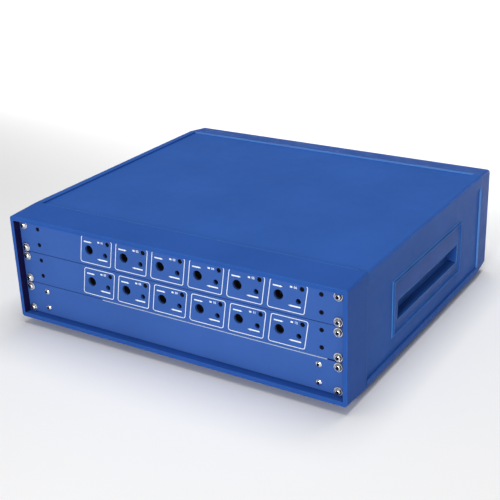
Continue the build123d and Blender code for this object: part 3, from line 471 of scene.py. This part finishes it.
def add_turned(bm, centre, profile, axis="Z", steps=16):
    """A closed solid of revolution from (radius, place along the axis) points."""
    rings = []
    for r, t in profile:
        ring = []
        for k in range(steps):
            c, s = r * cos(2 * pi * k / steps), r * sin(2 * pi * k / steps)
            offset = {"X": (t, c, s), "Y": (c, t, s), "Z": (c, s, t)}[axis]
            ring.append(bm.verts.new(Vector(centre) + Vector(offset)))
        rings.append(ring)
    for a, b in zip(rings, rings[1:]):
        for k in range(steps):
            bm.faces.new((a[k], a[(k + 1) % steps], b[(k + 1) % steps], b[k]))
    bm.faces.new(rings[0])
    bm.faces.new(rings[-1])


def text_points(body, size):
    """A flat mesh of a number, in its own X and Y, about its centre."""
    curve = bpy.data.curves.new("number", "FONT")
    curve.body = body
    curve.size = size
    curve.align_x = "CENTER"
    curve.align_y = "CENTER"
    curve.extrude = 0.03 * MM
    curve.offset = 0.02 * size
    curve.resolution_u = 3
    obj = bpy.data.objects.new("number", curve)
    bpy.context.scene.collection.objects.link(obj)
    bpy.context.view_layer.update()
    mesh = bpy.data.meshes.new_from_object(obj.evaluated_get(bpy.context.evaluated_depsgraph_get()))
    bpy.data.objects.remove(obj)
    bpy.data.curves.remove(curve)
    return mesh


# ---- printed legend ----
RELAY_WIDTH = 20.0 * MM
SMALL_PARTS = 5
TRACK_SPREAD = 13.5 * MM
TRACK_TURN = 118.0 * MM
TRACK_PITCH = 5.0 * MM
SOCKET_GAP = 0.2 * MM
INPUT_BORE_DEPTH = 9.0 * MM
SOCKET_SHARE = 0.6
SOCKET_SHADE_PLUG = 0.4
OUTLINE_WIDTH = 48.6 * MM
OUTLINE_HEIGHT = 36.6 * MM
OUTLINE_LEAN = 5.6 * MM
OUTLINE_CORNER = 3.0 * MM
OUTLINE_INK = 0.95 * MM
INK_THICKNESS = 0.06 * MM


def channel_centres(name):
    """Where each channel's input hole is, from the sockets behind the panel."""
    low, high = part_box(f"input_sockets_{name}")
    half = (high.z - low.z) / 2 - 1.0 * MM
    first, last = low.x + half, high.x - half
    pitch = (last - first) / (CHANNELS - 1)
    return [first + k * pitch for k in range(CHANNELS)]


def panel_face(name):
    """The panel's front face and the height of its middle."""
    low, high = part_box(f"panel_{name}")
    return low.y, (low.z + high.z) / 2


def leaning_outline(cx, cz):
    """The middle line of a rounded parallelogram and its outward normals."""
    lean = OUTLINE_LEAN / OUTLINE_HEIGHT
    inner_x = OUTLINE_WIDTH / 2 - OUTLINE_CORNER
    inner_z = OUTLINE_HEIGHT / 2 - OUTLINE_CORNER
    slope = Vector((1.0, -lean)).normalized()
    side_angle = Vector((1.0, 0.0)).angle_signed(slope)
    points, normals = [], []
    corners = [
        (inner_x, inner_z, -side_angle, pi / 2),
        (-inner_x, inner_z, pi / 2, pi - side_angle),
        (-inner_x, -inner_z, pi - side_angle, 3 * pi / 2),
        (inner_x, -inner_z, -pi / 2, -side_angle),
    ]
    for x, z, start, end in corners:
        for k in range(7):
            angle = start + (end - start) * k / 6
            nx, nz = cos(angle), sin(angle)
            points.append((cx + x + lean * z + OUTLINE_CORNER * nx, cz + z + OUTLINE_CORNER * nz))
            normals.append((nx, nz))
    return points, normals


def make_outlines(name, material):
    y, cz = panel_face(name)
    bm = bmesh.new()
    for cx in channel_centres(name):
        points, normals = leaning_outline(cx + 11.6 * MM, cz)
        add_band(bm, points, normals, OUTLINE_INK, y - INK_THICKNESS, y)
    return piece(f"outlines_{name}", bm, material, f"{name}_unit")


def arrow(cx, cz, length, height, point_at):
    """Two outlines, a bar and a triangle, that point left (-1) or right (1)."""
    tip = length * 0.28
    bar = height * 0.34
    x0, x1 = cx - length / 2, cx + length / 2
    if point_at > 0:
        bar_x = (x0, x1 - tip)
        head = [(x1 - tip, cz - height / 2), (x1, cz), (x1 - tip, cz + height / 2)]
    else:
        bar_x = (x0 + tip, x1)
        head = [(x0 + tip, cz + height / 2), (x0, cz), (x0 + tip, cz - height / 2)]
    shaft = [(bar_x[0], cz - bar), (bar_x[1], cz - bar), (bar_x[1], cz + bar), (bar_x[0], cz + bar)]
    return shaft, head


# Places and sizes of a channel's printed marks, in mm from the middle of its input hole.
ARROWS = ((-0.5, 11.0, 13.0, 1), (20.6, -10.4, 16.5, -1))  # x, z, length, way
ARROW_HEIGHT = 2.6
NUMBER_X = 22.6
MARK_LEVEL = 13.3
NUMBER_HEIGHT = 4.2
NUMBER_SINK = 0.03
MARK_X = 15.4
MARK_OUTLINE = ((0, -1.1), (3.2, -1.1), (3.2, 1.1), (0, 1.1))


def make_labels(name, material, first):
    """Channel numbers and arrows: generic marks in place of words."""
    y, cz = panel_face(name)
    bm = bmesh.new()
    for k, cx in enumerate(channel_centres(name)):
        for dx, dz, length, way in ARROWS:
            for outline in arrow(cx + dx * MM, cz + dz * MM, length * MM, ARROW_HEIGHT * MM, way):
                add_prism(bm, outline, y - INK_THICKNESS, y)
        mesh = text_points(f"{first + k:02d}", NUMBER_HEIGHT * MM)
        place = Matrix.Translation((cx + NUMBER_X * MM, y - NUMBER_SINK * MM, cz + MARK_LEVEL * MM))
        mesh.transform(place @ Matrix.Rotation(pi / 2, 4, "X"))
        bm.from_mesh(mesh)
        bpy.data.meshes.remove(mesh)
        mark = [(cx + (MARK_X + x) * MM, cz + (MARK_LEVEL + z) * MM) for x, z in MARK_OUTLINE]
        add_prism(bm, mark, y - INK_THICKNESS, y)
    return piece(f"labels_{name}", bm, material, f"{name}_unit")


# ---- parts on the channel boards ----
RESISTOR = [(0.3, -5.0), (0.3, -3.3), (1.2, -3.0), (1.3, -2.3), (1.0, -1.6)]
RESISTOR_LEVEL = 1.5
CAPACITOR = [(3.9, 0.0), (4.1, 0.4), (4.1, 1.0), (3.7, 1.5), (4.1, 2.0), (4.1, 11.3), (3.7, 11.8)]
TRACK_WIDTH = 2.2
TRACK_HEIGHT = 0.06
CHIP_LEAD_PITCH = 2.54
DIODE = [(0.35, -4.0), (0.35, -2.1), (1.3, -2.1), (1.3, 2.1), (0.35, 2.1), (0.35, 4.0)]


def scaled(profile):
    return [(r * MM, t * MM) for r, t in profile]


def box_at(bm, x, y, z, width, length, height, bevel=0.0):
    """A block on top of a level, by its middle in plan."""
    half = Vector((width * MM / 2, length * MM / 2, 0))
    base = Vector((x, y, z))
    add_box(bm, base - half, base + half + Vector((0, 0, height * MM)), bevel * MM)


def add_leads(bm, x, y, z, reach, level):
    """Two wires of a lying part, from its ends down to the board."""
    for way in (-1, 1):
        box_at(bm, x, y + way * reach * MM, z, 0.6, 0.6, level)


def relay_centres(name):
    low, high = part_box(f"relays_{name}")
    pitch = (high.x - low.x - RELAY_WIDTH) / (CHANNELS - 1)
    return [low.x + RELAY_WIDTH / 2 + k * pitch for k in range(CHANNELS)]


def make_board_parts(name, materials):
    """Capacitors, resistors, diodes and driver chips, the same round each relay."""
    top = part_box(f"board_{name}")[1].z
    relay_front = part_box(f"relays_{name}")[0].y
    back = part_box(f"relays_{name}")[1].y
    cans, bars, chips, tinned = [bmesh.new() for _ in range(4)]
    for x in relay_centres(name):
        add_turned(cans, (x - 3 * MM, back + 12 * MM, top), scaled(CAPACITOR), steps=20)
        for dx in (-6.0, 6.0):
            place = (x + dx * MM, relay_front - 9 * MM, top + RESISTOR_LEVEL * MM)
            whole = RESISTOR + [(r, -t) for r, t in reversed(RESISTOR)]
            add_turned(bars, place, scaled(whole), "Y", 12)
            add_leads(tinned, place[0], place[1], top, 4.8, RESISTOR_LEVEL)
        diode = (x + 7 * MM, back + 9 * MM, top + 1.5 * MM)
        add_turned(chips, diode, scaled(DIODE), "Y", 12)
        add_leads(tinned, diode[0], diode[1], top, 3.8, 1.5)
        chip_y = back + 30 * MM
        box_at(chips, x, chip_y, top + 0.5 * MM, 6.4, 9.8, 3.2, 0.3)
        for row in range(4):
            y = chip_y + (row - 1.5) * CHIP_LEAD_PITCH * MM
            for way in (-1, 1):
                box_at(tinned, x + way * 3.6 * MM, y, top, 0.7, 0.6, 2.2)
        for _ in range(SMALL_PARTS):
            px = x + random.uniform(-20, 20) * MM
            py = chip_y + random.uniform(12, 60) * MM
            turn = random.random() < 0.5
            width, length = (2.0, 1.25) if turn else (1.25, 2.0)
            box_at(chips, px, py, top, width, length, 0.6, 0.1)
            box_at(tinned, px, py, top, width + 0.8 * turn, length + 0.8 * (not turn), 0.25)
    body = f"{name}_unit"
    piece(f"capacitors_{name}", cans, materials["relay_case"], body)
    piece(f"resistors_{name}", bars, materials["part_ceramic"], body)
    piece(f"chips_{name}", chips, materials["part_black"], body)
    piece(f"leads_{name}", tinned, materials["tin"], body)


def make_tracks(name, materials):
    """Two tracks from each relay to the plug at the board's back, without crossings."""
    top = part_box(f"board_{name}")[1].z
    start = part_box(f"relays_{name}")[1].y
    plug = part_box(f"bus_plug_{name}")
    count = 2 * CHANNELS
    bm = bmesh.new()
    pitch = (plug[1].x - plug[0].x) / count
    for k in range(count):
        x = relay_centres(name)[k // 2] + (2 * (k % 2) - 1) * TRACK_SPREAD
        end_x = plug[0].x + (k + 0.5) * pitch
        rank = k if end_x > x else count - 1 - k
        turn_y = start + TRACK_TURN + rank * TRACK_PITCH
        half = TRACK_WIDTH * MM / 2
        high = top + TRACK_HEIGHT * MM
        add_box(bm, (x - half, start, top), (x + half, turn_y + half, high))
        add_box(bm, (min(x, end_x) - half, turn_y - half, top), (max(x, end_x) + half, turn_y + half, high))
        add_box(bm, (end_x - half, turn_y - half, top), (end_x + half, plug[0].y, high))
    piece(f"tracks_{name}", bm, materials["masked_track"], f"{name}_unit")


def make_pins(name, materials):
    """The centre pin of each input socket."""
    low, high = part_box(f"input_sockets_{name}")
    cz = panel_face(name)[1]
    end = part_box(f"panel_{name}")[1].y + (SOCKET_GAP + INPUT_BORE_DEPTH)
    profile = [(1.3, 0.5), (1.3, -5.5), (1.0, -6.2), (0.5, -6.6)]
    bm = bmesh.new()
    for cx in channel_centres(name):
        add_turned(bm, (cx, end, cz), scaled(profile), "Y")
    piece(f"input_pins_{name}", bm, materials["part_black"], f"{name}_unit")


# ---- painted shade in the sockets of the screws ----
def add_hexagon(bm, x, z, across, y0, y1):
    corner = across / 2 / cos(pi / 6)
    outline = [(x + corner * cos(k * pi / 3), z + corner * sin(k * pi / 3)) for k in range(6)]
    add_prism(bm, outline, y0, y1)


# Outer radius, head height and width across the flats of the socket, of one screw.
RACK_SCREW = (6.0 * MM, 3.6 * MM, 4.0 * MM)
PANEL_SCREW = (4.1 * MM, 2.2 * MM, 3.4 * MM)


def make_socket_shade(screws, body, name, radius, head_height, across, material):
    """Dark plugs on the floors of the hexagon sockets of the four screws of a panel: painted shade."""
    low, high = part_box(screws)
    floor = low.y + SOCKET_SHARE * head_height
    bm = bmesh.new()
    for x in (low.x + radius, high.x - radius):
        for z in (low.z + radius, high.z - radius):
            add_hexagon(bm, x, z, across - 0.1 * MM, floor - SOCKET_SHADE_PLUG * head_height, floor)
    return piece(name, bm, material, body)


# ---- camera, lights, floor ----
CAMERA_AZIMUTH = 0.56711
CAMERA_ELEVATION = 0.40546
CAMERA_ROLL = -0.03625
CAMERA_DISTANCE = 1.41278
CAMERA_LENS = 74.10
CAMERA_AIM = (0.0, -0.0296, 0.0820)


def make_camera():
    aim = Vector(CAMERA_AIM)
    az, el, roll = CAMERA_AZIMUTH, CAMERA_ELEVATION, CAMERA_ROLL
    back = Vector((sin(az) * cos(el), -cos(az) * cos(el), sin(el)))
    right = Vector((cos(az), sin(az), 0.0))
    up = back.cross(right)
    turned_right = cos(roll) * right + sin(roll) * up
    turned_up = -sin(roll) * right + cos(roll) * up
    data = bpy.data.cameras.new("camera")
    data.lens = CAMERA_LENS
    data.sensor_width = 36.0
    data.clip_start = 0.01
    camera = bpy.data.objects.new("camera", data)
    rotation = Matrix((turned_right, turned_up, back)).transposed().to_4x4()
    camera.matrix_world = Matrix.Translation(aim + back * CAMERA_DISTANCE) @ rotation
    bpy.context.scene.collection.objects.link(camera)
    bpy.context.scene.camera = camera


AMBIENT = 0.25
FLOOR_HALF = 6.0
# Name, place, what it points at, size, power in watts, spread in degrees.
LIGHTS = (
    ("top", (0.14, 0.1, 2.2), (0.14, 0.1, 0), (1.2, 2.0), 32.5, 180),
    ("front", (0.52, -2.6, 0.66), (0, 0, 0.08), (0.4, 0.4), 34.5, 180),
    ("backdrop", (0.0, 2.7, 2.6), (0.0, 2.7, 0), (6.0, 3.0), 260.0, 50),
)


def area_light(name, place, aim, size, power, spread):
    data = bpy.data.lights.new(name, "AREA")
    data.spread = radians(spread)
    data.shape = "RECTANGLE"
    data.size, data.size_y = size
    data.energy = power
    light = bpy.data.objects.new(name, data)
    direction = Vector(aim) - Vector(place)
    rotation = direction.to_track_quat("-Z", "Y").to_matrix().to_4x4()
    light.matrix_world = Matrix.Translation(place) @ rotation
    bpy.context.scene.collection.objects.link(light)


def make_studio():
    world = bpy.data.worlds.new("studio")
    world.use_nodes = True
    world.node_tree.nodes["Background"].inputs["Color"].default_value = (1.0, 1.0, 1.0, 1.0)
    world.node_tree.nodes["Background"].inputs["Strength"].default_value = AMBIENT
    bpy.context.scene.world = world
    bpy.context.scene.view_settings.view_transform = "Standard"
    for light in LIGHTS:
        area_light(*light)
    bm = bmesh.new()
    bmesh.ops.create_grid(bm, x_segments=1, y_segments=1, size=FLOOR_HALF)
    mesh = bpy.data.meshes.new("floor")
    bm.to_mesh(mesh)
    bm.free()
    mesh.materials.append(floor_paint("floor_paint"))
    floor = bpy.data.objects.new("floor", mesh)
    bpy.context.scene.collection.objects.link(floor)


random.seed(7)
materials = make_materials()
make_camera()
make_studio()
paint_nodes(materials)
# Dark plugs in the screw sockets: painted shade.
for name in ("upper", "lower", "power"):
    screws, sockets = f"rack_screws_{name}", f"sockets_{name}"
    make_socket_shade(screws, f"{name}_unit", sockets, *RACK_SCREW, materials["black_screw"])
make_socket_shade("panel_screws_power", "power_unit", "sockets_small", *PANEL_SCREW, materials["black_screw"])
for name, first in zip(UNITS, (1, CHANNELS + 1)):
    make_outlines(name, materials["legend_ink"])
    make_labels(name, materials["legend_ink"], first)
    make_board_parts(name, materials)
    make_tracks(name, materials)
    make_pins(name, materials)
